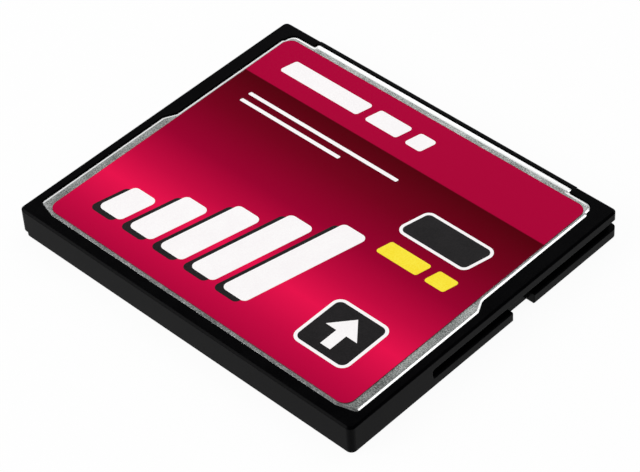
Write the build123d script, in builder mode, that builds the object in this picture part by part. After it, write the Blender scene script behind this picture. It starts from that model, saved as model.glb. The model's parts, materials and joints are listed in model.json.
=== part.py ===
"""Type I flash memory card: moulded frame, formed steel covers, 50-way socket and populated board.

Sizes are in millimetres. X runs across the card, +Y points out of the connector edge and +Z is up
through the label. The origin is at the centre of the card's underside.
"""

import os

from build123d import *

# Card envelope
CARD_WIDTH = 42.80
CARD_LENGTH = 36.40
CARD_THICKNESS = 3.30
CORNER_RADIUS = 0.60
TOP_EDGE_BEVEL = 0.20
BOTTOM_EDGE_BEVEL = 0.12

# Frame walls and outer features
SIDE_WALL = 2.60
REAR_WALL = 2.40
FRONT_BLOCK_DEPTH = 5.00
FRONT_BLOCK_WIDTH = 4.90
FRONT_SETBACK = 0.08
STEP_DEPTH = 0.40
STEP_HEIGHT = 0.55
GROOVE_DEPTH = 1.00
GROOVE_LENGTH = 25.78
GROOVE_END_RADIUS = 0.35
GROOVE_BEVEL = 0.10
RIGHT_GROOVE_WIDTH = 1.00
LEFT_GROOVE_WIDTH = 1.60
NOTCH_FROM_FRONT = 12.00
NOTCH_LENGTH = 3.00
BOARD_PAD_SIZE = 2.60
PIN_RADIUS = 0.50
PIN_FIT = 0.05

# Covers: their plan is given from the card's rear and front edges and from its centre line
SHEET = 0.20
COVER_DEPTH = 0.45
COVER_BEND_BEVEL = 0.22
COVER_FIT = 0.05
COVER_REAR_MARGIN = 1.36
COVER_SIDE_MARGIN = 1.02
COVER_HEEL_STEP = 0.60
COVER_HEEL_RUN = 2.10
COVER_WAIST_STEP = 0.68
COVER_WAIST_START = 17.90
COVER_WAIST_RUN = 1.30
COVER_NOSE_STEP = 0.24
COVER_NOSE_RUN = 0.25
COVER_NOSE_FROM_FRONT = 2.50
COVER_NOSE_RADIUS = 0.95
COVER_FRONT_MARGIN = 1.15
TONGUE_REACH = 0.58
TONGUE_BEVEL = 0.20
TONGUE_CLEARANCE = 0.10
COVER_CORNER_RADIUS = 0.45
RIM_ABOVE_COVER = 0.03
BASE_RECESS = 0.04
FILM = 0.05
FILM_MARGIN = 0.45

# Label
LABEL_THICKNESS = 0.08
LABEL_SIDE_GAP = 0.45
LABEL_RADIUS = 1.10
LABEL_REAR_GAP = 0.39
LABEL_FRONT_GAP = 0.65

# Socket housing and fork contacts
CONTACT_PITCH = 1.27
ROW_PITCH = 1.27
HOUSING_FIT = 0.05
HOUSING_END_WALL = 1.00
HOUSING_BAR_DEPTH = 1.00
BORE_SIZE = 0.60
FUNNEL_BEVEL = 0.17
CONTACT_WIDTH = 0.40
CONTACT_FIT = 0.02
CONTACT_BASE_SETBACK = 0.40
CONTACT_BASE_LENGTH = 1.70
CONTACT_TIP_SETBACK = 0.80
BEAM_THICKNESS = 0.13
BEAM_TIP_CLOSE = 0.06
TAIL_THICKNESS = 0.15
TAIL_LENGTH = 1.70
TAIL_BEND_RUN = 0.50

# Circuit board
BOARD_THICKNESS = 0.60
BOARD_FIT = 0.15

# Packages on the board
BODY_HEIGHT = 0.92
STANDOFF = 0.06
FINE_LEAD_PITCH = 0.50
FINE_LEAD_WIDTH = 0.22
WIDE_LEAD_WIDTH = 0.38
LEAD_THICKNESS = 0.13
LEAD_REACH = 0.80
LEAD_FOOT = 0.40
PACKAGE_GAP = 0.40
MIDDLE_GAP = 4.90
TAIL_CLEARANCE = 0.85
LEAD_END_MARGIN = 0.20
CONTROLLER_BODY = 10.00
CONTROLLER_END_MARGIN = 0.80
CONTROLLER_LEAD_PITCH = 0.80
REGULATOR_LENGTH = 2.90
REGULATOR_WIDTH = 1.60
REGULATOR_LEAD_PITCH = 0.95
REGULATOR_INPUT_COUNT = 3
REGULATOR_OUTPUT_COUNT = 2
CRYSTAL_LENGTH = 3.20
CRYSTAL_WIDTH = 2.50
CRYSTAL_BASE_HEIGHT = 0.45
CRYSTAL_LID_HEIGHT = 0.25
CRYSTAL_LID_INSET = 0.25
BULK_LENGTH = 3.20
BULK_WIDTH = 1.60
BULK_HEIGHT = 0.90
BULK_COUNT = 2
DECOUPLING_LENGTH = 1.60
DECOUPLING_WIDTH = 0.80
DECOUPLING_HEIGHT = 0.80
DECOUPLING_COUNT = 4
RESISTOR_LENGTH = 1.00
RESISTOR_WIDTH = 0.50
RESISTOR_HEIGHT = 0.35
RESISTOR_COUNT = 4
NETWORK_LENGTH = 2.00
NETWORK_WIDTH = 1.00
NETWORK_HEIGHT = 0.45
NETWORK_COUNT = 4
END_CAP = 0.25
END_CAP_PROUD = 0.02

# Places across the card and along it
side_x = CARD_WIDTH / 2
front_y = CARD_LENGTH / 2
rear_y = -CARD_LENGTH / 2
cavity_x = side_x - SIDE_WALL
cavity_rear_y = rear_y + REAR_WALL
block_rear_y = front_y - FRONT_BLOCK_DEPTH
housing_rear_y = block_rear_y - HOUSING_BAR_DEPTH
opening_x = side_x - FRONT_BLOCK_WIDTH
cover_wide_x = side_x - COVER_SIDE_MARGIN
cover_waist_x = cover_wide_x - COVER_WAIST_STEP
groove_end_y = front_y - GROOVE_LENGTH

# Levels
middle_z = CARD_THICKNESS / 2
cover_top_z = CARD_THICKNESS - LABEL_THICKNESS
rim_top_z = cover_top_z + RIM_ABOVE_COVER
top_shelf_z = cover_top_z - SHEET - FILM
bottom_shelf_z = BASE_RECESS + SHEET + FILM
top_slot_z = cover_top_z - COVER_DEPTH - COVER_FIT
bottom_slot_z = BASE_RECESS + COVER_DEPTH + COVER_FIT
board_top_z = middle_z + BOARD_THICKNESS / 2
board_bottom_z = middle_z - BOARD_THICKNESS / 2
upper_row_z = middle_z + ROW_PITCH / 2

# Board outline
board_x = cavity_x - BOARD_FIT
board_rear_y = cavity_rear_y + BOARD_FIT
board_front_y = housing_rear_y - BOARD_FIT
pad_x = cavity_x - BOARD_PAD_SIZE / 2
pad_y = cavity_rear_y + BOARD_PAD_SIZE / 2

board_mirror = Plane.XY.offset(middle_z)
cover_mirror = Plane.XY.offset((cover_top_z + BASE_RECESS) / 2)

os.makedirs("parts", exist_ok=True)


def finish_piece(piece, name):
    """Labels a finished piece and writes it."""
    piece.label = name
    export_step(piece, f"parts/{name}.step")


def cover_plan(grow=0.0):
    """Plan of a cover: sloped heels at the finger end, a waist beside the flanges and a front tongue."""
    nose_x = cover_waist_x - COVER_NOSE_STEP
    tongue_x = opening_x - TONGUE_CLEARANCE
    back_y = rear_y + COVER_REAR_MARGIN
    waist_y = rear_y + COVER_WAIST_START
    nose_y = front_y - COVER_NOSE_FROM_FRONT
    shoulder_y = front_y - COVER_FRONT_MARGIN
    tongue_y = shoulder_y + TONGUE_REACH
    heel_start = (cover_wide_x - COVER_HEEL_RUN, back_y)
    heel_end = (cover_wide_x, back_y + COVER_HEEL_STEP)
    waist_start = (cover_wide_x, waist_y)
    waist_end = (cover_waist_x, waist_y + COVER_WAIST_RUN)
    nose_end = (nose_x, nose_y + COVER_NOSE_RUN)
    tongue_root = (tongue_x, shoulder_y)
    tongue_bevel = (tongue_x, tongue_y - TONGUE_BEVEL)
    with BuildSketch() as plan:
        with BuildLine():
            Line((0, back_y), heel_start)
            FilletPolyline(heel_start, heel_end, waist_start, radius=COVER_CORNER_RADIUS)
            Polyline(waist_start, waist_end, (cover_waist_x, nose_y), nose_end)
            FilletPolyline(nose_end, (nose_x, shoulder_y), tongue_root, radius=COVER_NOSE_RADIUS)
            Polyline(tongue_root, tongue_bevel, (tongue_x - TONGUE_BEVEL, tongue_y), (0, tongue_y))
            mirror(about=Plane.YZ)
        make_face()
        if grow:
            offset(amount=grow, kind=Kind.INTERSECTION)
    return plan.sketch


def cover_seat(pocket_z, pocket_height, slot_z, slot_height):
    """Pocket for a cover's sheet and, around it, the slot that takes the cover's turned edge."""
    with BuildPart() as seat:
        with BuildSketch(Plane.XY.offset(pocket_z)):
            add(cover_plan(COVER_FIT))
        extrude(amount=pocket_height)
        with BuildSketch(Plane.XY.offset(slot_z)):
            add(cover_plan(COVER_FIT))
            add(cover_plan(-SHEET - COVER_FIT), mode=Mode.SUBTRACT)
        extrude(amount=slot_height)
    return seat.part


def guide_groove(side, width):
    """Guide groove open at the front, with rounded rear corners, a bevelled mouth and a flange notch."""
    mouth = Plane(origin=(side * side_x, groove_end_y, middle_z), x_dir=(0, 1, 0), z_dir=(side, 0, 0))
    overrun = GROOVE_LENGTH + CORNER_RADIUS
    notch_y = front_y - NOTCH_FROM_FRONT - NOTCH_LENGTH / 2
    with BuildPart() as groove:
        for spread, depth, taper in ((0, GROOVE_DEPTH, 0), (GROOVE_BEVEL, GROOVE_BEVEL, 45)):
            edge = width / 2 + spread
            with BuildSketch(mouth):
                with BuildLine():
                    FilletPolyline(
                        (overrun, -edge),
                        (-spread, -edge),
                        (-spread, edge),
                        (overrun, edge),
                        radius=GROOVE_END_RADIUS,
                    )
                    Line((overrun, edge), (overrun, -edge))
                make_face()
            extrude(amount=-depth, taper=taper)
        with BuildSketch():
            with Locations((side * (side_x - GROOVE_DEPTH / 2), notch_y)):
                Rectangle(GROOVE_DEPTH, NOTCH_LENGTH)
        extrude(amount=middle_z)
    return groove.part


top_seat = cover_seat(top_shelf_z, rim_top_z - top_shelf_z, top_slot_z, top_shelf_z - top_slot_z)
bottom_seat = cover_seat(0, bottom_shelf_z, bottom_shelf_z, bottom_slot_z - bottom_shelf_z)
right_groove = guide_groove(1, RIGHT_GROOVE_WIDTH)
left_groove = guide_groove(-1, LEFT_GROOVE_WIDTH)


# Frame: a moulded ring, open at the front between two blocks that the housing fits between
with BuildPart() as frame:
    outer_length = CARD_LENGTH - FRONT_SETBACK
    outer_centre_y = -FRONT_SETBACK / 2
    with BuildSketch():
        with Locations((STEP_DEPTH / 2, outer_centre_y)):
            RectangleRounded(CARD_WIDTH - STEP_DEPTH, outer_length, CORNER_RADIUS)
    extrude(amount=STEP_HEIGHT)
    with BuildSketch(Plane.XY.offset(STEP_HEIGHT)):
        with Locations((0, outer_centre_y)):
            RectangleRounded(CARD_WIDTH, outer_length, CORNER_RADIUS)
    extrude(amount=rim_top_z - STEP_HEIGHT)
    chamfer(frame.faces().sort_by(Axis.Z)[-1].edges(), TOP_EDGE_BEVEL)
    chamfer(frame.faces().sort_by(Axis.Z)[0].edges(), BOTTOM_EDGE_BEVEL)
    add([right_groove, left_groove], mode=Mode.SUBTRACT)
    with BuildSketch():
        with Locations((0, (cavity_rear_y + block_rear_y) / 2)):
            Rectangle(2 * cavity_x, block_rear_y - cavity_rear_y)
        with Locations((0, (block_rear_y + front_y) / 2)):
            Rectangle(2 * opening_x, front_y - block_rear_y)
    extrude(amount=rim_top_z, mode=Mode.SUBTRACT)
    add([top_seat, bottom_seat], mode=Mode.SUBTRACT)
    with BuildSketch(Plane.XY.offset(bottom_shelf_z)):
        with Locations((pad_x, pad_y), (-pad_x, pad_y)):
            Rectangle(BOARD_PAD_SIZE, BOARD_PAD_SIZE)
    extrude(amount=board_bottom_z - bottom_shelf_z)
    with BuildSketch(Plane.XY.offset(board_bottom_z)):
        with Locations((pad_x, pad_y), (-pad_x, pad_y)):
            Circle(PIN_RADIUS)
    extrude(amount=BOARD_THICKNESS)

finish_piece(frame.part, "frame")


# Covers: drawn pans whose turned edge stands in the slot of the frame and the housing
with BuildPart() as top_cover:
    with BuildSketch(Plane.XY.offset(cover_top_z - COVER_DEPTH)):
        add(cover_plan())
    extrude(amount=COVER_DEPTH)
    chamfer(top_cover.faces().sort_by(Axis.Z)[-1].edges(), COVER_BEND_BEVEL)
    with BuildSketch(Plane.XY.offset(cover_top_z - COVER_DEPTH)):
        add(cover_plan(-SHEET))
    extrude(amount=COVER_DEPTH - SHEET, mode=Mode.SUBTRACT)

with BuildPart() as bottom_cover:
    add(mirror(top_cover.part, about=cover_mirror))

finish_piece(top_cover.part, "top_cover")
finish_piece(bottom_cover.part, "bottom_cover")


# Bonding films between the covers and the shelves of the frame and the housing
with BuildPart() as bonding_film_top:
    with BuildSketch(Plane.XY.offset(top_shelf_z)):
        add(cover_plan(-FILM_MARGIN))
    extrude(amount=FILM)
    with BuildSketch(Plane.XY.offset(top_shelf_z)):
        with Locations((0, (cavity_rear_y + housing_rear_y) / 2)):
            Rectangle(2 * cavity_x, housing_rear_y - cavity_rear_y)
    extrude(amount=FILM, mode=Mode.SUBTRACT)

with BuildPart() as bonding_film_bottom:
    add(mirror(bonding_film_top.part, about=cover_mirror))

finish_piece(bonding_film_top.part, "bonding_film_top")
finish_piece(bonding_film_bottom.part, "bonding_film_bottom")


# Label on the flat of the top cover
with BuildPart() as top_label:
    label_rear_y = rear_y + COVER_REAR_MARGIN + LABEL_REAR_GAP
    label_front_y = front_y - COVER_FRONT_MARGIN - LABEL_FRONT_GAP
    with BuildSketch(Plane.XY.offset(cover_top_z)):
        with Locations((0, (label_rear_y + label_front_y) / 2)):
            label_width = 2 * (cover_waist_x - LABEL_SIDE_GAP)
            RectangleRounded(label_width, label_front_y - label_rear_y, LABEL_RADIUS)
    extrude(amount=LABEL_THICKNESS)

finish_piece(top_label.part, "top_label")


# Socket housing: front block between the frame's blocks, rear bar trapped behind them
housing_width = 2 * (opening_x - HOUSING_FIT)
contacts_per_row = int((housing_width - 2 * HOUSING_END_WALL) / CONTACT_PITCH) + 1
contact_grid = GridLocations(CONTACT_PITCH, ROW_PITCH, contacts_per_row, 2)
front_plane = Plane(origin=(0, front_y, middle_z), x_dir=(-1, 0, 0), z_dir=(0, 1, 0))

with BuildPart() as connector_housing:
    with BuildSketch():
        with Locations((0, (block_rear_y + front_y) / 2)):
            Rectangle(housing_width, FRONT_BLOCK_DEPTH)
    extrude(amount=rim_top_z)
    front_edges = connector_housing.faces().sort_by(Axis.Y)[-1].edges().filter_by(Axis.X)
    chamfer(front_edges, TOP_EDGE_BEVEL)
    with BuildSketch(Plane.XY.offset(bottom_shelf_z)):
        with Locations((0, (housing_rear_y + block_rear_y - HOUSING_FIT) / 2)):
            Rectangle(2 * (cavity_x - HOUSING_FIT), HOUSING_BAR_DEPTH - HOUSING_FIT)
        with Locations((0, block_rear_y)):
            Rectangle(housing_width, 2 * HOUSING_FIT)
    extrude(amount=top_shelf_z - bottom_shelf_z)
    add([top_seat, bottom_seat], mode=Mode.SUBTRACT)
    with BuildSketch(front_plane):
        with contact_grid:
            Rectangle(BORE_SIZE, BORE_SIZE)
    extrude(amount=housing_rear_y - front_y, mode=Mode.SUBTRACT)
    bore_mouths = [wire.edges() for wire in connector_housing.faces().sort_by(Axis.Y)[-1].inner_wires()]
    chamfer(ShapeList(edge for mouth in bore_mouths for edge in mouth), FUNNEL_BEVEL)

finish_piece(connector_housing.part, "connector_housing")


# Fork contact: two beams for the mating pin, a base held in the bore and a tail soldered to the board
base_half = BORE_SIZE / 2 - CONTACT_FIT
beam_inner = base_half - BEAM_THICKNESS
tail_half = TAIL_THICKNESS / 2
base_rear_y = housing_rear_y + CONTACT_BASE_SETBACK
fork_root_y = base_rear_y + CONTACT_BASE_LENGTH
tip_y = front_y - CONTACT_TIP_SETBACK
tail_bend_y = housing_rear_y - TAIL_BEND_RUN
tail_end_y = tail_bend_y - TAIL_LENGTH
tail_top_z = board_top_z + TAIL_THICKNESS

with BuildPart() as fork_contact:
    with BuildSketch(Plane.YZ):
        with BuildLine():
            Polyline(
                (tail_end_y, board_top_z),
                (tail_bend_y, board_top_z),
                (base_rear_y, upper_row_z - tail_half),
                (base_rear_y, upper_row_z - base_half),
                (tip_y, upper_row_z - base_half + BEAM_TIP_CLOSE),
                (tip_y, upper_row_z - beam_inner + BEAM_TIP_CLOSE),
                (fork_root_y, upper_row_z - beam_inner),
                (fork_root_y, upper_row_z + beam_inner),
                (tip_y, upper_row_z + beam_inner - BEAM_TIP_CLOSE),
                (tip_y, upper_row_z + base_half - BEAM_TIP_CLOSE),
                (base_rear_y, upper_row_z + base_half),
                (base_rear_y, upper_row_z + tail_half),
                (tail_bend_y, tail_top_z),
                (tail_end_y, tail_top_z),
                close=True,
            )
        make_face()
    extrude(amount=CONTACT_WIDTH / 2, both=True)

with BuildPart() as contacts_upper:
    with GridLocations(CONTACT_PITCH, 0, contacts_per_row, 1):
        add(fork_contact.part)

with BuildPart() as contacts_lower:
    add(mirror(contacts_upper.part, about=board_mirror))

finish_piece(contacts_upper.part, "contacts_upper")
finish_piece(contacts_lower.part, "contacts_lower")


# Circuit board: rests on the frame's rear pads and between the two rows of contact tails
with BuildPart() as circuit_board:
    with BuildSketch(Plane.XY.offset(board_bottom_z)):
        with Locations((0, (board_rear_y + board_front_y) / 2)):
            Rectangle(2 * board_x, board_front_y - board_rear_y)
        with Locations((pad_x, pad_y), (-pad_x, pad_y)):
            Circle(PIN_RADIUS + PIN_FIT, mode=Mode.SUBTRACT)
    extrude(amount=BOARD_THICKNESS)

finish_piece(circuit_board.part, "circuit_board")


def gull_wing(width):
    """One lead, running out along +X from X = 0, with its foot on the board's upper face."""
    shoulder_z = board_top_z + STANDOFF + BODY_HEIGHT / 2
    foot_x = LEAD_REACH - LEAD_FOOT
    with BuildPart() as lead:
        with BuildSketch(Plane.XZ):
            with BuildLine():
                Polyline(
                    (0, shoulder_z),
                    (foot_x - LEAD_THICKNESS, board_top_z),
                    (LEAD_REACH, board_top_z),
                    (LEAD_REACH, board_top_z + LEAD_THICKNESS),
                    (foot_x, board_top_z + LEAD_THICKNESS),
                    (0, shoulder_z + LEAD_THICKNESS),
                    close=True,
                )
            make_face()
        extrude(amount=width / 2, both=True)
    return lead.part


def leads_along(side, end_margin, pitch):
    """How many leads fit along a package side, clear of its corners."""
    return int((side - 2 * end_margin) / pitch) + 1


def lead_row(lead, edge_x, pitch, count, turn):
    """Copies of a lead along the package side that faces turn degrees from +X, at edge_x from centre."""
    with BuildPart() as row:
        with Locations((edge_x, 0)):
            with GridLocations(0, pitch, 1, count):
                add(lead)
    return Rot(0, 0, turn) * row.part


def place(piece, x, y, underside):
    """Moves a piece from the board's centre to x, y, and under the board if asked."""
    moved = Pos(x, y, 0) * piece
    if underside:
        moved = mirror(moved, about=board_mirror)
    return moved


# Flash memory packages: leads at both ends, two packages on each face of the board. They share the
# length between the contact tails and the board's rear edge, and the width that the controller leaves
controller_size = CONTROLLER_BODY + 2 * LEAD_REACH
flash_length = 2 * board_x - 2 * PACKAGE_GAP - controller_size - MIDDLE_GAP
flash_body_length = flash_length - 2 * LEAD_REACH
flash_front_y = tail_end_y - TAIL_CLEARANCE
flash_width = (flash_front_y - board_rear_y) / 2 - PACKAGE_GAP
flash_top_x = board_x - PACKAGE_GAP - flash_length / 2
flash_low_y = board_rear_y + PACKAGE_GAP + flash_width / 2
flash_high_y = flash_low_y + flash_width + PACKAGE_GAP
flash_side_leads = leads_along(flash_width, LEAD_END_MARGIN, FINE_LEAD_PITCH)
fine_lead = gull_wing(FINE_LEAD_WIDTH)
wide_lead = gull_wing(WIDE_LEAD_WIDTH)

with BuildPart() as flash_body:
    with BuildSketch(Plane.XY.offset(board_top_z + STANDOFF)):
        Rectangle(flash_body_length, flash_width)
    extrude(amount=BODY_HEIGHT)

with BuildPart() as flash_leads:
    for turn in (0, 180):
        add(lead_row(fine_lead, flash_body_length / 2, FINE_LEAD_PITCH, flash_side_leads, turn))

flash_places = [
    (flash_top_x, flash_low_y, False),
    (flash_top_x, flash_high_y, False),
    (0, flash_low_y, True),
    (0, flash_high_y, True),
]
for number, (flash_x, flash_y, underside) in enumerate(flash_places, start=1):
    finish_piece(place(flash_body.part, flash_x, flash_y, underside), f"flash_chip_{number}")
    finish_piece(place(flash_leads.part, flash_x, flash_y, underside), f"flash_leads_{number}")


# Rows beside the packages, spread evenly from the contact tails to the board's rear edge
regulator_size = REGULATOR_WIDTH + 2 * LEAD_REACH
row_depths = [NETWORK_WIDTH, controller_size, regulator_size, BULK_WIDTH, RESISTOR_WIDTH]
row_gap = (tail_end_y - board_rear_y - sum(row_depths)) / (len(row_depths) + 1)
row_places = []
row_front_y = tail_end_y - row_gap
for row_depth in row_depths:
    row_places.append(row_front_y - row_depth / 2)
    row_front_y -= row_depth + row_gap
network_y, controller_y, regulator_y, bulk_y, resistor_y = row_places


# Controller: square package with leads on four sides
controller_x = -board_x + PACKAGE_GAP + controller_size / 2
controller_side_leads = leads_along(CONTROLLER_BODY, CONTROLLER_END_MARGIN, CONTROLLER_LEAD_PITCH)

with BuildPart() as controller_chip:
    with BuildSketch(Plane.XY.offset(board_top_z + STANDOFF)):
        with Locations((controller_x, controller_y)):
            Rectangle(CONTROLLER_BODY, CONTROLLER_BODY)
    extrude(amount=BODY_HEIGHT)

with BuildPart() as controller_lead_ring:
    for turn in (0, 90, 180, 270):
        add(lead_row(wide_lead, CONTROLLER_BODY / 2, CONTROLLER_LEAD_PITCH, controller_side_leads, turn))

controller_leads = place(controller_lead_ring.part, controller_x, controller_y, False)
finish_piece(controller_chip.part, "controller_chip")
finish_piece(controller_leads, "controller_leads")


# Voltage regulator: three leads on one side, and two on the other, opposite the outer ones
regulator_x = -board_x + BOARD_PAD_SIZE + PACKAGE_GAP + REGULATOR_LENGTH / 2

with BuildPart() as voltage_regulator:
    with BuildSketch(Plane.XY.offset(board_top_z + STANDOFF)):
        with Locations((regulator_x, regulator_y)):
            Rectangle(REGULATOR_LENGTH, REGULATOR_WIDTH)
    extrude(amount=BODY_HEIGHT)

with BuildPart() as regulator_lead_rows:
    for lead_pitch, lead_count, turn in (
        (REGULATOR_LEAD_PITCH, REGULATOR_INPUT_COUNT, 90),
        (2 * REGULATOR_LEAD_PITCH, REGULATOR_OUTPUT_COUNT, 270),
    ):
        add(lead_row(wide_lead, REGULATOR_WIDTH / 2, lead_pitch, lead_count, turn))

regulator_leads = place(regulator_lead_rows.part, regulator_x, regulator_y, False)
finish_piece(voltage_regulator.part, "voltage_regulator")
finish_piece(regulator_leads, "regulator_leads")


# Crystal: ceramic base with a welded metal lid
crystal_x = controller_x + controller_size / 2 - CRYSTAL_LENGTH / 2
crystal_y = regulator_y

with BuildPart() as crystal:
    with BuildSketch(Plane.XY.offset(board_top_z)):
        with Locations((crystal_x, crystal_y)):
            Rectangle(CRYSTAL_LENGTH, CRYSTAL_WIDTH)
    extrude(amount=CRYSTAL_BASE_HEIGHT)
    with BuildSketch(Plane.XY.offset(board_top_z + CRYSTAL_BASE_HEIGHT)):
        with Locations((crystal_x, crystal_y)):
            Rectangle(CRYSTAL_LENGTH - 2 * CRYSTAL_LID_INSET, CRYSTAL_WIDTH - 2 * CRYSTAL_LID_INSET)
    extrude(amount=CRYSTAL_LID_HEIGHT)

finish_piece(crystal.part, "crystal")


def chip_part(length, width, height):
    """Two-terminal chip on the board's upper face, with end caps that stand slightly proud."""
    with BuildPart() as chip:
        with BuildSketch(Plane.XY.offset(board_top_z + END_CAP_PROUD)):
            Rectangle(length, width - 2 * END_CAP_PROUD)
        extrude(amount=height - 2 * END_CAP_PROUD)
        with BuildSketch(Plane.XY.offset(board_top_z)):
            with GridLocations(length - END_CAP, 0, 2, 1):
                Rectangle(END_CAP, width)
        extrude(amount=height)
    return chip.part


# Capacitors and resistors, in rows beside the packages
bulk_part = chip_part(BULK_LENGTH, BULK_WIDTH, BULK_HEIGHT)
decoupling_part = chip_part(DECOUPLING_LENGTH, DECOUPLING_WIDTH, DECOUPLING_HEIGHT)
resistor_part = chip_part(RESISTOR_LENGTH, RESISTOR_WIDTH, RESISTOR_HEIGHT)
network_part = chip_part(NETWORK_LENGTH, NETWORK_WIDTH, NETWORK_HEIGHT)

with BuildPart() as resistor_networks:
    with Locations((controller_x, network_y)):
        with GridLocations(NETWORK_LENGTH + PACKAGE_GAP, 0, NETWORK_COUNT, 1):
            add(network_part)

with BuildPart() as bulk_capacitors:
    with Locations((controller_x, bulk_y)):
        with GridLocations(BULK_LENGTH + PACKAGE_GAP, 0, BULK_COUNT, 1):
            add(bulk_part)

with BuildPart() as chip_resistors:
    with Locations((controller_x, resistor_y)):
        with GridLocations(RESISTOR_LENGTH + PACKAGE_GAP, 0, RESISTOR_COUNT, 1):
            add(resistor_part)

with BuildPart() as decoupling_row:
    with GridLocations(0, DECOUPLING_WIDTH + PACKAGE_GAP, 1, DECOUPLING_COUNT):
        add(decoupling_part)

decoupling_capacitors = place(decoupling_row.part, controller_x, controller_y, True)
finish_piece(resistor_networks.part, "resistor_networks")
finish_piece(bulk_capacitors.part, "bulk_capacitors")
finish_piece(chip_resistors.part, "chip_resistors")
finish_piece(decoupling_capacitors, "decoupling_capacitors")
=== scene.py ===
"""Looks of a compact flash card: moulded frame, drawn steel covers, printed label, socket and board."""

import json
import math

import bmesh
import bpy
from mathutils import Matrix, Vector


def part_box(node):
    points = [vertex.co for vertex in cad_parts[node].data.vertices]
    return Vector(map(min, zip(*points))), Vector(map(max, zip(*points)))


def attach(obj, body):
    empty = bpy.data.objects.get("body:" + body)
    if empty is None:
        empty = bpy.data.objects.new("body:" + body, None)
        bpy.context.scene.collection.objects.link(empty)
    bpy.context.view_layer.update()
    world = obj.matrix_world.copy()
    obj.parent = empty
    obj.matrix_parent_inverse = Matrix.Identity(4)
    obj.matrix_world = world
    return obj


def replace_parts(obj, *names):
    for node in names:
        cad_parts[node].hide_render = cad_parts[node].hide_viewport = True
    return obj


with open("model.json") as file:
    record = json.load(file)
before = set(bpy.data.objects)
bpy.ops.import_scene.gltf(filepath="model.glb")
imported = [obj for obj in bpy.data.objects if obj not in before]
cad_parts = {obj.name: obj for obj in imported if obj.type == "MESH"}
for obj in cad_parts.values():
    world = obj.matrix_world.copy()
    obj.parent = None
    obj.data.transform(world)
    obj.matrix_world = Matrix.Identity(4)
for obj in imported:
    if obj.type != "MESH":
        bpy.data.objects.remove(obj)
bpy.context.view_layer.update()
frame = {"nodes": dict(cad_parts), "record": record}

# The card's lengths are in millimetres, the studio's in metres
MM = 0.001
NODES = frame["nodes"]


# Outlines and meshes

CORNER_STEPS = 8


def add_piece(name, verts, faces, material):
    """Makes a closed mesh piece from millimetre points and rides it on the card."""
    mesh = bpy.data.meshes.new(name)
    mesh.from_pydata([Vector(v) * MM for v in verts], [], faces)
    mesh.materials.append(material)
    bm = bmesh.new()
    bm.from_mesh(mesh)
    bmesh.ops.recalc_face_normals(bm, faces=bm.faces)
    bm.to_mesh(mesh)
    bm.free()
    piece = bpy.data.objects.new(name, mesh)
    bpy.context.scene.collection.objects.link(piece)
    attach(piece, "root")
    return piece


def rectangle(left, low, right, high):
    """The four corners of a rectangle, anticlockwise."""
    return [(left, low), (right, low), (right, high), (left, high)]


def rounded(points, radii, steps=CORNER_STEPS):
    """A closed outline with each corner turned into an arc. radii is one value or a list of them."""
    if not isinstance(radii, list):
        radii = [radii] * len(points)
    outline = []
    count = len(points)
    for i, radius in enumerate(radii):
        corner = Vector(points[i])
        to_last = (Vector(points[i - 1]) - corner).normalized()
        to_next = (Vector(points[(i + 1) % count]) - corner).normalized()
        half = to_last.angle(to_next) / 2
        reach = radius / math.tan(half)
        centre = corner + (to_last + to_next).normalized() * (radius / math.sin(half))
        start = corner + to_last * reach - centre
        sweep = start.angle_signed(corner + to_next * reach - centre)
        for k in range(steps + 1):
            turn = -sweep * k / steps
            x = start.x * math.cos(turn) - start.y * math.sin(turn)
            y = start.x * math.sin(turn) + start.y * math.cos(turn)
            outline.append((centre.x + x, centre.y + y))
    return outline


def inset(outline, amount):
    """An anticlockwise outline moved inwards by amount."""
    count = len(outline)
    moved = []
    for i in range(count):
        here = Vector(outline[i])
        before = (here - Vector(outline[i - 1])).normalized()
        after = (Vector(outline[(i + 1) % count]) - here).normalized()
        inwards = Vector((-before.y - after.y, before.x + after.x)).normalized()
        stretch = 1 / inwards.dot(Vector((-before.y, before.x)))
        moved.append(tuple(here + inwards * amount * stretch))
    return moved


def ring_faces(first, second, count):
    """Faces between two rings of count points, whose points start at the indexes first and second."""
    return [
        (first + i, first + (i + 1) % count, second + (i + 1) % count, second + i)
        for i in range(count)
    ]


def prism(name, outline, low, high, material):
    """A plate of the given outline between two heights."""
    count = len(outline)
    verts = [(x, y, z) for z in (low, high) for x, y in outline]
    faces = [tuple(reversed(range(count))), tuple(range(count, 2 * count))]
    faces += ring_faces(0, count, count)
    return add_piece(name, verts, faces, material)


# Materials

# The grain is fine noise mixed with broad patches, each BROAD_GRAINS grains wide
FINE_DETAIL = 3
BROAD_DETAIL = 2
BROAD_GRAINS = 20
BROAD_SHARE = 0.3
# Noise values between which the colour and the roughness run
COLOUR_RANGE = (0.36, 0.64)
ROUGH_RANGE = (0.3, 0.7)
# Depth of the relief in grains
RELIEF_DEPTH = 0.1
SOFTEN_SAMPLES = 4


def srgb(red, green, blue):
    """A colour from 0-255 screen values, by the sRGB formula."""
    def linear(value):
        value /= 255
        return value / 12.92 if value <= 0.04045 else ((value + 0.055) / 1.055) ** 2.4
    return (linear(red), linear(green), linear(blue), 1)


def new_node(nodes, kind, **settings):
    """Adds a shader node with the given settings."""
    node = nodes.new(kind)
    for key, value in settings.items():
        setattr(node, key, value)
    return node


def set_stops(ramp, stops):
    """Gives a colour ramp its stops, each a position and a colour, in rising order."""
    elements = ramp.color_ramp.elements
    # New stops start in the middle, and all get their places afterwards
    while len(elements) < len(stops):
        elements.new(0.5)
    for element, (position, colour) in zip(elements, stops):
        element.position = position
        element.color = colour


def noise(nodes, links, place, size, detail):
    """Noise in the object's own space, with patches about size millimetres wide."""
    texture = new_node(nodes, "ShaderNodeTexNoise")
    texture.inputs["Scale"].default_value = 1 / (size * MM)
    texture.inputs["Detail"].default_value = detail
    links.new(place.outputs["Object"], texture.inputs["Vector"])
    return texture


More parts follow.
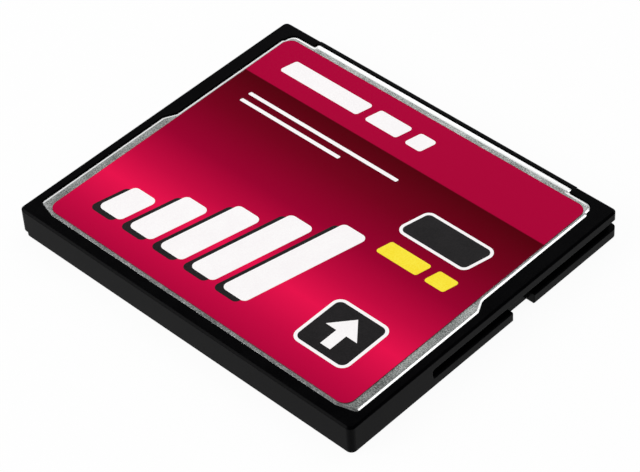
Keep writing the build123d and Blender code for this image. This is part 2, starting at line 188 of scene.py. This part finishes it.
def grained(name, dark, light, grain, rough, metallic=0.0, specular=0.5, bump=0.0, coat=0.0, soften=0.0):
    """A material with fine grain in colour, roughness and relief.

    grain is the size of the grain, and soften the radius to which hard edges are shaded round."""
    material = bpy.data.materials.new(name)
    material.use_nodes = True
    nodes, links = material.node_tree.nodes, material.node_tree.links
    shader = nodes["Principled BSDF"]
    shader.inputs["Metallic"].default_value = metallic
    shader.inputs["Specular IOR Level"].default_value = specular
    shader.inputs["Coat Weight"].default_value = coat
    place = new_node(nodes, "ShaderNodeTexCoord")
    fine = noise(nodes, links, place, grain, FINE_DETAIL)
    broad = noise(nodes, links, place, BROAD_GRAINS * grain, BROAD_DETAIL)
    both = new_node(nodes, "ShaderNodeMix", data_type="FLOAT")
    both.inputs["Factor"].default_value = BROAD_SHARE
    links.new(fine.outputs["Fac"], both.inputs["A"])
    links.new(broad.outputs["Fac"], both.inputs["B"])
    ramp = new_node(nodes, "ShaderNodeValToRGB")
    set_stops(ramp, [(COLOUR_RANGE[0], dark), (COLOUR_RANGE[1], light)])
    links.new(both.outputs["Result"], ramp.inputs["Fac"])
    links.new(ramp.outputs["Color"], shader.inputs["Base Color"])
    spread = new_node(nodes, "ShaderNodeMapRange")
    spread.inputs["From Min"].default_value = ROUGH_RANGE[0]
    spread.inputs["From Max"].default_value = ROUGH_RANGE[1]
    spread.inputs["To Min"].default_value = rough[0]
    spread.inputs["To Max"].default_value = rough[1]
    links.new(both.outputs["Result"], spread.inputs["Value"])
    links.new(spread.outputs["Result"], shader.inputs["Roughness"])
    relief = new_node(nodes, "ShaderNodeBump")
    relief.inputs["Strength"].default_value = bump
    relief.inputs["Distance"].default_value = RELIEF_DEPTH * grain * MM
    links.new(fine.outputs["Fac"], relief.inputs["Height"])
    if soften:
        edges = new_node(nodes, "ShaderNodeBevel", samples=SOFTEN_SAMPLES)
        edges.inputs["Radius"].default_value = soften * MM
        links.new(edges.outputs["Normal"], relief.inputs["Normal"])
    links.new(relief.outputs["Normal"], shader.inputs["Normal"])
    return material


frame_plastic = grained(
    "frame_plastic", srgb(0, 0, 1), srgb(4, 4, 5),
    grain=0.07, rough=(0.26, 0.42), specular=0.029, bump=0.25, soften=0.12,
)
housing_plastic = grained(
    "housing_plastic", srgb(3, 3, 4), srgb(8, 8, 9),
    grain=0.07, rough=(0.28, 0.44), specular=0.04, bump=0.25, soften=0.06,
)
cover_steel = grained(
    "cover_steel", srgb(120, 126, 123), srgb(250, 254, 251),
    grain=0.12, rough=(0.26, 0.42), metallic=1.0, bump=1.0,
)
# Darker copy of the rim steel for rim faces that look to the rear: painted shade, not a different finish
rear_shade_steel = grained(
    "rear_shade_steel", srgb(172, 178, 175), srgb(255, 255, 255),
    grain=0.12, rough=(0.30, 0.46), metallic=1.0, bump=1.0,
)
rolled_steel = grained(
    "rolled_steel", srgb(249, 251, 250), srgb(255, 255, 255),
    grain=0.3, rough=(0.20, 0.27), metallic=1.0, bump=0.1,
)
base_steel = grained(
    "base_steel", srgb(132, 137, 135), srgb(226, 230, 228),
    grain=0.12, rough=(0.28, 0.44), metallic=1.0, bump=0.8,
)
film_edge = grained(
    "film_edge", srgb(104, 20, 44), srgb(130, 34, 60),
    grain=0.3, rough=(0.4, 0.5), specular=0.15, bump=0.1,
)
bond_film = grained(
    "bond_film", srgb(205, 190, 150), srgb(225, 212, 176),
    grain=0.3, rough=(0.5, 0.65), specular=0.3, bump=0.2,
)
contact_gold = grained(
    "contact_gold", srgb(214, 168, 78), srgb(246, 206, 118),
    grain=0.15, rough=(0.18, 0.32), metallic=1.0, bump=0.15,
)
laminate = grained(
    "laminate", srgb(12, 66, 34), srgb(22, 92, 50),
    grain=0.4, rough=(0.3, 0.42), specular=0.5, bump=0.15, coat=0.3,
)
resin = grained(
    "resin", srgb(26, 26, 28), srgb(40, 40, 42),
    grain=0.06, rough=(0.5, 0.65), specular=0.4, bump=0.6,
)
tinned = grained(
    "tinned", srgb(176, 178, 174), srgb(222, 222, 216),
    grain=0.12, rough=(0.25, 0.4), metallic=1.0, bump=0.3,
)
crystal_can = grained(
    "crystal_can", srgb(190, 180, 150), srgb(226, 218, 190),
    grain=0.1, rough=(0.22, 0.34), metallic=1.0, bump=0.3,
)
ceramic = grained(
    "ceramic", srgb(150, 116, 80), srgb(182, 146, 104),
    grain=0.08, rough=(0.5, 0.62), specular=0.4, bump=0.3,
)
glaze = grained(
    "glaze", srgb(24, 24, 28), srgb(44, 44, 50),
    grain=0.08, rough=(0.25, 0.38), specular=0.5, bump=0.2,
)


def printing_ink(name, dark, light):
    """An opaque ink with a slight sheen."""
    return grained(name, dark, light, grain=0.12, rough=(0.34, 0.42), specular=0.2, bump=0.1)


ink_white = printing_ink("ink_white", srgb(250, 246, 247), srgb(255, 253, 253))
ink_black = printing_ink("ink_black", srgb(14, 12, 14), srgb(30, 27, 29))
ink_yellow = printing_ink("ink_yellow", srgb(250, 222, 20), srgb(255, 236, 60))

SLOT_MATERIALS = {
    "frame_plastic": frame_plastic,
    "housing_plastic": housing_plastic,
    "cover_steel": cover_steel,
    "base_steel": base_steel,
    "bonding_film": bond_film,
    "contact_metal": contact_gold,
    "board_laminate": laminate,
    "package_resin": resin,
    "lead_metal": tinned,
    "crystal_can": crystal_can,
    "capacitor_ceramic": ceramic,
    "resistor_ceramic": glaze,
    "label_print": film_edge,
}
for subpart in frame["record"]["subparts"]:
    node = NODES[subpart["node"]]
    node.data.materials.clear()
    node.data.materials.append(SLOT_MATERIALS[subpart["material_slot"]])


# Covers: pans with a rolled rim

# Plan of both covers. The waist is inset from the full width, and the nose from the waist.
# The waist's start is measured from the rear edge, the lengths of nose and tongue from the front one.
REAR_SLOPE_WIDTH = 2.10
REAR_SLOPE_LENGTH = 0.60
WAIST_START = 16.54
WAIST_SLOPE = 1.30
WAIST_INSET = 0.68
NOSE_LENGTH = 1.93
NOSE_SLOPE = 0.25
NOSE_INSET = 0.24
TONGUE_LENGTH = 0.58
TONGUE_HALF = 16.40
# Least radius of an outer corner, and the radius up to which a hollow one grows
LEAST_RADIUS = 0.02
HOLLOW_RADIUS = 0.24

# Section of the rim in sheet of this thickness: a tight roll at the edge, then a gentle crown
SHEET = 0.20
EDGE_RADIUS = 0.08
CROWN_WIDTH = 0.36
CROWN_DROP = 0.085
ROLL_STEPS = 4
CROWN_STEPS = 6
INNER_ROLL = 0.10
# Share by which the tongue's rim is wider than the rest
FRONT_RIM_STRETCH = 0.8

# Materials of a pan's rim by index, and how squarely a face must look to the rear to get the darker
# steel, which is painted shade on the rear of the rim
ROLLED_INDEX = 1
REAR_SHADE_INDEX = 2
REAR_SHADE_FACING = 0.8

top_low, top_high = (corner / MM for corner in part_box("top_cover"))
base_low, base_high = (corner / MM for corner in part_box("bottom_cover"))


def ring_radius(radius, hollow, step):
    """A corner's radius on a ring moved inwards: it shrinks, or grows where the corner is hollow."""
    if hollow:
        return min(radius + step, max(radius, HOLLOW_RADIUS))
    return max(LEAST_RADIUS, radius - step)


def cover_ring(step):
    """Anticlockwise plan of a cover, moved inwards by step.

    It has its full width at the finger end, then a waist, a nose and a tongue."""
    wide = top_high.x
    waist = wide - WAIST_INSET
    nose = waist - NOSE_INSET
    back = top_low.y
    front = top_high.y
    shoulder = front - TONGUE_LENGTH
    waist_y = back + WAIST_START
    nose_y = front - NOSE_LENGTH
    # Corners of the right side: x, y, radius, and whether the corner is hollow
    right = [
        (wide - REAR_SLOPE_WIDTH, back, 1.50, False),
        (wide, back + REAR_SLOPE_LENGTH, 0.45, False),
        (wide, waist_y, 0.80, False),
        (waist, waist_y + WAIST_SLOPE, 0.80, True),
        (waist, nose_y, 0.30, False),
        (nose, nose_y + NOSE_SLOPE, 0.20, True),
        (nose, shoulder, 0.95, False),
        (TONGUE_HALF, shoulder, 0.12, True),
        (TONGUE_HALF, front, 0.22, False),
    ]
    radii = [ring_radius(radius, hollow, step) for _, _, radius, hollow in right]
    sharp = [(x, y) for x, y, _, _ in right]
    corners = inset(sharp + [(-x, y) for x, y in reversed(sharp)], step)
    # The tongue's rim is rolled more gently
    corners = [(x, y - step * FRONT_RIM_STRETCH if y > shoulder else y) for x, y in corners]
    return rounded(corners, radii + radii[::-1])


def crown(step):
    """Drop below a cover's face at a distance in from its edge."""
    return CROWN_DROP * (1 - step / CROWN_WIDTH) ** 2


def rim_profile():
    """Distances in from a cover's edge with their drops below its face, up the roll and the crown."""
    profile = []
    for k in range(ROLL_STEPS):
        turn = math.pi / 2 * k / ROLL_STEPS
        roll_drop = crown(EDGE_RADIUS) + EDGE_RADIUS * (1 - math.sin(turn))
        profile.append((EDGE_RADIUS * (1 - math.cos(turn)), roll_drop))
    for k in range(CROWN_STEPS + 1):
        step = EDGE_RADIUS + (CROWN_WIDTH - EDGE_RADIUS) * k / CROWN_STEPS
        profile.append((step, crown(step)))
    return profile


def pan(name, edge_z, face_z, material):
    """A drawn pan: a flat face at face_z and a rolled rim that ends at edge_z."""
    up = 1 if face_z > edge_z else -1
    outside = [(0, edge_z)] + [(step, face_z - up * drop) for step, drop in rim_profile()]
    inside = [
        (SHEET + INNER_ROLL, face_z - up * SHEET),
        (SHEET, face_z - up * (SHEET + INNER_ROLL)),
        (SHEET, edge_z),
    ]
    rings = outside + inside
    verts = [(x, y, z) for step, z in rings for x, y in cover_ring(step)]
    count = len(cover_ring(0))
    last_outside = len(outside) - 1
    faces = []
    for ring in range(len(rings)):
        if ring != last_outside:
            faces += ring_faces(ring * count, (ring + 1) % len(rings) * count, count)
    # The outer face fills the last ring outside, and the inner face the first one inside
    for ring in (last_outside, last_outside + 1):
        faces.append(tuple(range(ring * count, (ring + 1) * count)))
    piece = add_piece(name, verts, faces, material)
    piece.data.materials.append(rolled_steel)
    piece.data.materials.append(rear_shade_steel)
    for polygon in piece.data.polygons:
        if len(polygon.vertices) == 4:
            # Rim faces that look to the rear get the darker steel as painted shade
            looks_rear = polygon.normal.y < -REAR_SHADE_FACING * polygon.normal.xy.length
            polygon.material_index = REAR_SHADE_INDEX if looks_rear else ROLLED_INDEX
            polygon.use_smooth = True
    return piece


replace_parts(pan("steel_top", top_low.z, top_high.z, cover_steel), "top_cover")
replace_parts(pan("steel_bottom", base_high.z, base_low.z, base_steel), "bottom_cover")


# Label: film, printed field and simple motifs

label_low, label_high = (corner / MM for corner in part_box("top_label"))
LABEL_RADIUS = 1.10
LABEL_CORNER_STEPS = 14
LABEL_BORDER = 0.02
# Heights of the printed surfaces
PRINT_Z = label_low.z + 0.062
BLACK_Z = PRINT_Z + 0.006
TILE_Z = BLACK_Z + 0.004
WHITE_Z = PRINT_Z + 0.012
# How far below PRINT_Z the film ends, and the field and the inks begin
FILM_DROP = 0.003
FIELD_DEPTH = 0.006
INK_DEPTH = 0.004
# Where the band at the socket end begins, and the width of its edge
BAND_Y = 10.05
BAND_EDGE = 0.02

# Colours along the card by their place, from the finger end to the socket end
FIELD_COLOURS = [
    (label_low.y, srgb(178, 4, 58)),
    (-13.5, srgb(198, 8, 65)),
    (-9.2, srgb(232, 17, 76)),
    (-5.5, srgb(194, 7, 62)),
    (-1.2, srgb(153, 0, 46)),
    (4.5, srgb(117, 0, 28)),
    (BAND_Y, srgb(82, 0, 11)),
    (BAND_Y + BAND_EDGE, srgb(171, 3, 55)),
    (label_high.y, srgb(173, 3, 56)),
]


def label_plan(margin):
    """The label's rounded outline, moved inwards by margin."""
    corners = rectangle(
        label_low.x + margin, label_low.y + margin, label_high.x - margin, label_high.y - margin)
    return rounded(corners, LABEL_RADIUS - margin, LABEL_CORNER_STEPS)


def field_material():
    """Crimson band at the socket end; below it maroon brightens to crimson, then darkens a little."""
    # The ramp along the card takes the place of the two grain colours
    material = grained(
        "print_field", srgb(0, 0, 0), srgb(255, 255, 255),
        grain=0.12, rough=(0.26, 0.34), specular=0.012, bump=0.08,
    )
    nodes, links = material.node_tree.nodes, material.node_tree.links
    shader = nodes["Principled BSDF"]
    place = new_node(nodes, "ShaderNodeTexCoord")
    split = new_node(nodes, "ShaderNodeSeparateXYZ")
    links.new(place.outputs["Object"], split.inputs["Vector"])
    along = new_node(nodes, "ShaderNodeMapRange")
    along.inputs["From Min"].default_value = label_low.y * MM
    along.inputs["From Max"].default_value = label_high.y * MM
    links.new(split.outputs["Y"], along.inputs["Value"])
    ramp = new_node(nodes, "ShaderNodeValToRGB")
    span = label_high.y - label_low.y
    set_stops(ramp, [((y - label_low.y) / span, colour) for y, colour in FIELD_COLOURS])
    links.new(along.outputs["Result"], ramp.inputs["Fac"])
    links.new(ramp.outputs["Color"], shader.inputs["Base Color"])
    return material


print_field = field_material()
film = prism("label_film", label_plan(0), label_low.z, PRINT_Z - FILM_DROP, film_edge)
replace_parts(film, "top_label")
prism("label_print", label_plan(LABEL_BORDER), PRINT_Z - FIELD_DEPTH, PRINT_Z, print_field)

# How far a bar leans to the right for its height
LEAN = 0.22


def slanted(x, y, width, height, radius):
    """A rounded bar that leans to the right, from its lower left corner."""
    shift = height * LEAN
    top = y + height
    return rounded([(x, y), (x + width, y), (x + width + shift, top), (x + shift, top)], radius)


def ink(name, outline, top, material):
    """A printed shape that stands in the field and ends at the height top."""
    prism(name, outline, PRINT_Z - INK_DEPTH, top, material)


def ink_row(name, bars, y, height, radius, material):
    """A row of numbered slanted bars, each given by its left end and its width."""
    for number, (x, width) in enumerate(bars, start=1):
        ink(f"{name}_{number}", slanted(x, y, width, height, radius), WHITE_Z, material)


# Three white dashes in the band
DASHES = [(-16.6, 10.4), (-5.2, 4.2), (0.0, 2.1)]
ink_row("dash", DASHES, y=12.1, height=2.1, radius=0.35, material=ink_white)

# Two thin white rules below the band, each given by its place along the card and its width
RULES = [(7.5, 19.6), (6.3, 13.2)]
RULE_X = -16.4
RULE_HEIGHT = 0.42
RULE_RADIUS = 0.12
for number, (rule_y, rule_width) in enumerate(RULES, start=1):
    rule = slanted(RULE_X, rule_y, rule_width, RULE_HEIGHT, RULE_RADIUS)
    ink(f"rule_{number}", rule, WHITE_Z, ink_white)

# Five white steps that grow to the right, each over a black drop shadow
STEP_COUNT = 5
STEP_X = -15.9
STEP_Y = -13.2
STEP_WIDTH = 3.1
STEP_SPACING = 4.1
STEP_RADIUS = 0.6
FIRST_STEP_HEIGHT = 4.2
STEP_GROWTH = 2.3
SHADOW_X = -0.55
SHADOW_Y = -0.6
for number in range(STEP_COUNT):
    step_x = STEP_X + number * STEP_SPACING
    step_height = FIRST_STEP_HEIGHT + number * STEP_GROWTH
    shape = slanted(step_x, STEP_Y, STEP_WIDTH, step_height, STEP_RADIUS)
    shadow = [(x + SHADOW_X, y + SHADOW_Y) for x, y in shape]
    ink(f"step_shadow_{number + 1}", shadow, BLACK_Z, ink_black)
    ink(f"step_{number + 1}", shape, WHITE_Z, ink_white)

# Black pill with a white outline, and two yellow dashes below it
PILL_OUTLINE_WIDTH = 0.32
YELLOW_DASHES = [(8.0, 5.0), (13.9, 2.4)]
pill = slanted(x=7.4, y=2.6, width=8.6, height=4.0, radius=0.9)
ink("pill_outline", pill, BLACK_Z, ink_white)
ink("pill", inset(pill, PILL_OUTLINE_WIDTH), WHITE_Z, ink_black)
ink_row("yellow_dash", YELLOW_DASHES, y=-0.6, height=1.9, radius=0.3, material=ink_yellow)

# Insertion mark: a black tile with a white outline and a white arrow towards the socket
TILE_X = 9.6
TILE_Y = -13.6
TILE_SIZE = 6.6
TILE_RADIUS = 1.0
TILE_OUTLINE_WIDTH = 0.34
SHAFT_HALF = 0.6
HEAD_HALF = 1.9
shaft_y = TILE_Y + 1.2
head_y = TILE_Y + 3.3
tip_y = TILE_Y + 5.5
middle = TILE_X + TILE_SIZE / 2
tile = rounded(rectangle(TILE_X, TILE_Y, TILE_X + TILE_SIZE, TILE_Y + TILE_SIZE), TILE_RADIUS)
arrow = [
    (middle - SHAFT_HALF, shaft_y),
    (middle + SHAFT_HALF, shaft_y),
    (middle + SHAFT_HALF, head_y),
    (middle + HEAD_HALF, head_y),
    (middle, tip_y),
    (middle - HEAD_HALF, head_y),
    (middle - SHAFT_HALF, head_y),
]
ink("tile_outline", tile, BLACK_Z, ink_white)
ink("tile", inset(tile, TILE_OUTLINE_WIDTH), TILE_Z, ink_black)
ink("arrow", arrow, WHITE_Z, ink_white)


# Studio: pale floor, soft light and the photograph's camera

WHITE = (1, 1, 1, 1)
# A background of this strength is white
SHOWN_STRENGTH = 1.0
FLOOR_HALF = 1.5
FLOOR_PAPER = (0.88, 0.88, 0.88, 1)
# Share of plain white in the floor that is seen; the rest is the lit paper with its shadow
FLOOR_SHOWN = 0.94
# Strength of the even sky that lights the card
SKY_LIGHT = 0.72
# The sky that is seen, also in gloss, is white low down, dark overhead and darker on the card's right
SKY_UP = (0.30, 0.0, 1.0)
SKY_DARK = (0.04, 0.04, 0.04, 1)
SKY_WHITE_AT = 0.20
SKY_DARK_AT = 0.60


def shown_rays(nodes, links):
    """1 for rays that show the background: from the camera, or by way of a mirror or glass."""
    path = new_node(nodes, "ShaderNodeLightPath")
    first = new_node(nodes, "ShaderNodeMath", operation="MAXIMUM")
    links.new(path.outputs["Is Camera Ray"], first.inputs[0])
    links.new(path.outputs["Is Glossy Ray"], first.inputs[1])
    second = new_node(nodes, "ShaderNodeMath", operation="MAXIMUM")
    links.new(first.outputs["Value"], second.inputs[0])
    links.new(path.outputs["Is Transmission Ray"], second.inputs[1])
    return second.outputs["Value"]


floor_corners = rectangle(-FLOOR_HALF, -FLOOR_HALF, FLOOR_HALF, FLOOR_HALF)
floor_mesh = bpy.data.meshes.new("floor")
floor_mesh.from_pydata([(x, y, 0) for x, y in floor_corners], [], [(0, 1, 2, 3)])
floor = bpy.data.objects.new("floor", floor_mesh)
bpy.context.scene.collection.objects.link(floor)
floor_look = bpy.data.materials.new("floor_look")
floor_look.use_nodes = True
floor_nodes, floor_links = floor_look.node_tree.nodes, floor_look.node_tree.links
floor_nodes.clear()
paper = new_node(floor_nodes, "ShaderNodeBsdfDiffuse")
paper.inputs["Color"].default_value = FLOOR_PAPER
glow = new_node(floor_nodes, "ShaderNodeEmission")
glow.inputs["Color"].default_value = WHITE
glow.inputs["Strength"].default_value = SHOWN_STRENGTH
share = new_node(floor_nodes, "ShaderNodeMath", operation="MULTIPLY")
share.inputs[1].default_value = FLOOR_SHOWN
floor_links.new(shown_rays(floor_nodes, floor_links), share.inputs[0])
blend = new_node(floor_nodes, "ShaderNodeMixShader")
floor_links.new(share.outputs["Value"], blend.inputs["Fac"])
floor_links.new(paper.outputs["BSDF"], blend.inputs[1])
floor_links.new(glow.outputs["Emission"], blend.inputs[2])
floor_out = new_node(floor_nodes, "ShaderNodeOutputMaterial")
floor_links.new(blend.outputs["Shader"], floor_out.inputs["Surface"])
floor_mesh.materials.append(floor_look)

world = bpy.data.worlds.new("studio")
bpy.context.scene.world = world
world.use_nodes = True
sky_nodes, sky_links = world.node_tree.nodes, world.node_tree.links
sky_nodes.clear()
soft = new_node(sky_nodes, "ShaderNodeBackground")
soft.inputs["Color"].default_value = WHITE
soft.inputs["Strength"].default_value = SKY_LIGHT
shown = new_node(sky_nodes, "ShaderNodeBackground")
shown.inputs["Strength"].default_value = SHOWN_STRENGTH
direction = new_node(sky_nodes, "ShaderNodeTexCoord")
height = new_node(sky_nodes, "ShaderNodeVectorMath", operation="DOT_PRODUCT")
height.inputs[1].default_value = SKY_UP
sky_links.new(direction.outputs["Generated"], height.inputs[0])
fade = new_node(sky_nodes, "ShaderNodeValToRGB")
set_stops(fade, [(SKY_WHITE_AT, WHITE), (SKY_DARK_AT, SKY_DARK)])
sky_links.new(height.outputs["Value"], fade.inputs["Fac"])
sky_links.new(fade.outputs["Color"], shown.inputs["Color"])
pick = new_node(sky_nodes, "ShaderNodeMixShader")
sky_links.new(shown_rays(sky_nodes, sky_links), pick.inputs["Fac"])
sky_links.new(soft.outputs["Background"], pick.inputs[1])
sky_links.new(shown.outputs["Background"], pick.inputs[2])
sky_out = new_node(sky_nodes, "ShaderNodeOutputWorld")
sky_links.new(pick.outputs["Shader"], sky_out.inputs["Surface"])


def softbox(name, azimuth, elevation, distance, size, power):
    """A square lamp that faces the card: angles in degrees, lengths in metres and power in watts."""
    lamp = bpy.data.lights.new(name, "AREA")
    lamp.shape = "SQUARE"
    lamp.size = size
    lamp.energy = power
    around = math.radians(azimuth)
    up = math.radians(elevation)
    toward = Vector((math.cos(up) * math.cos(around), math.cos(up) * math.sin(around), math.sin(up)))
    holder = bpy.data.objects.new(name, lamp)
    holder.location = toward * distance
    holder.rotation_euler = toward.to_track_quat("Z", "Y").to_euler()
    bpy.context.scene.collection.objects.link(holder)


softbox("key", azimuth=84, elevation=56, distance=0.5, size=0.25, power=0.28)
softbox("front_glow", azimuth=124, elevation=33, distance=0.19, size=0.07, power=0.010)
softbox("rear_fill", azimuth=233, elevation=30, distance=0.5, size=0.26, power=0.9)

# The camera was fitted to the photograph: lens and sensor in millimetres, turn in degrees
CAMERA_LENS = 146.38
CAMERA_SENSOR = 36.0
CAMERA_PLACE = (0.128042, -0.122759, 0.169284)
CAMERA_TURN = (46.2184, 2.7271, 43.5341)
CAMERA_NEAR = 0.01
CAMERA_FAR = 10.0
camera_data = bpy.data.cameras.new("camera")
camera_data.sensor_width = CAMERA_SENSOR
camera_data.lens = CAMERA_LENS
camera_data.clip_start = CAMERA_NEAR
camera_data.clip_end = CAMERA_FAR
camera = bpy.data.objects.new("camera", camera_data)
camera.location = CAMERA_PLACE
camera.rotation_euler = [math.radians(angle) for angle in CAMERA_TURN]
bpy.context.scene.collection.objects.link(camera)
bpy.context.scene.camera = camera
bpy.context.scene.view_settings.view_transform = "Standard"
